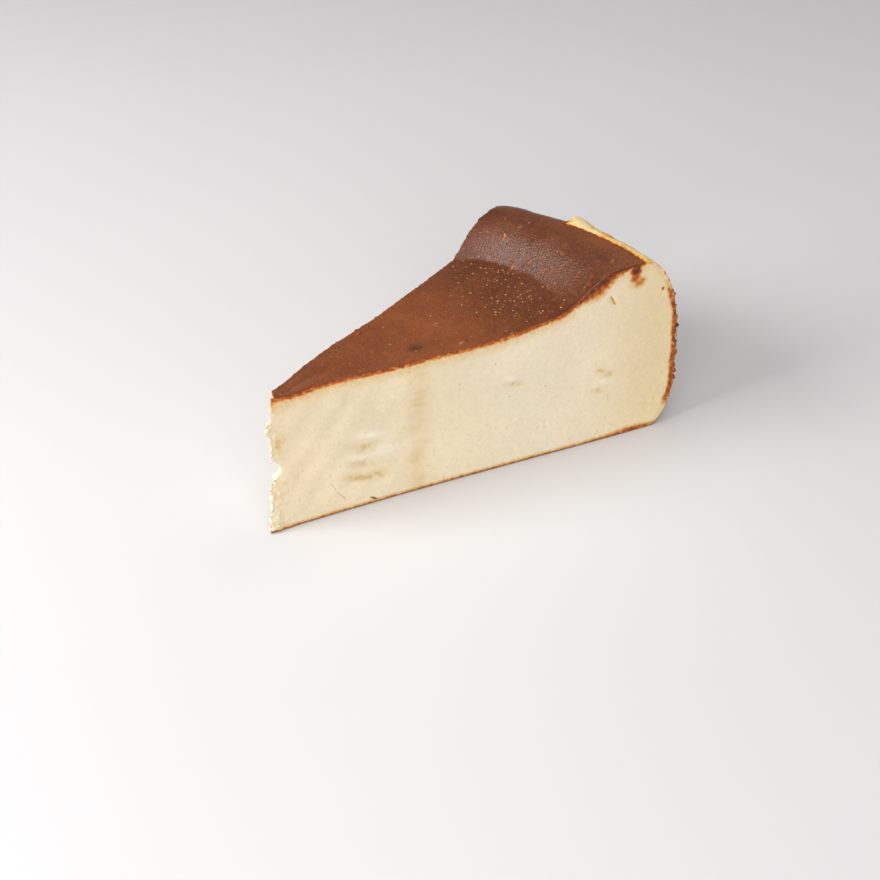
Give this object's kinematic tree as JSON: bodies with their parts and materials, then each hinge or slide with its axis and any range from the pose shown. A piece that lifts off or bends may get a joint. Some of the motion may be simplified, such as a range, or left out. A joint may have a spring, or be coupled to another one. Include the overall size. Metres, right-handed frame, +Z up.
{
  "type": "basque cheesecake slice",
  "caption": "Cut wedge of burnt Basque cheesecake: dark sunken top, raised rim with a pale rounded shoulder, pleated toasted side and two smooth creamy cut faces.",
  "frame": {"origin": "on the surface the slice stands on, under the middle of its bounding box", "axes": "+X from the broken tip to the rim along the slice's middle plane, +Y towards the far cut face, +Z up"},
  "size_m": [0.1189, 0.059, 0.053],
  "materials": {
    "cheesecake": "moist baked cream cheese with a satin burnt skin on top and a dry toasted side"
  },
  "bodies": {
    "root": {"cheesecake_slice": "cheesecake"}
  },
  "joints": []
}
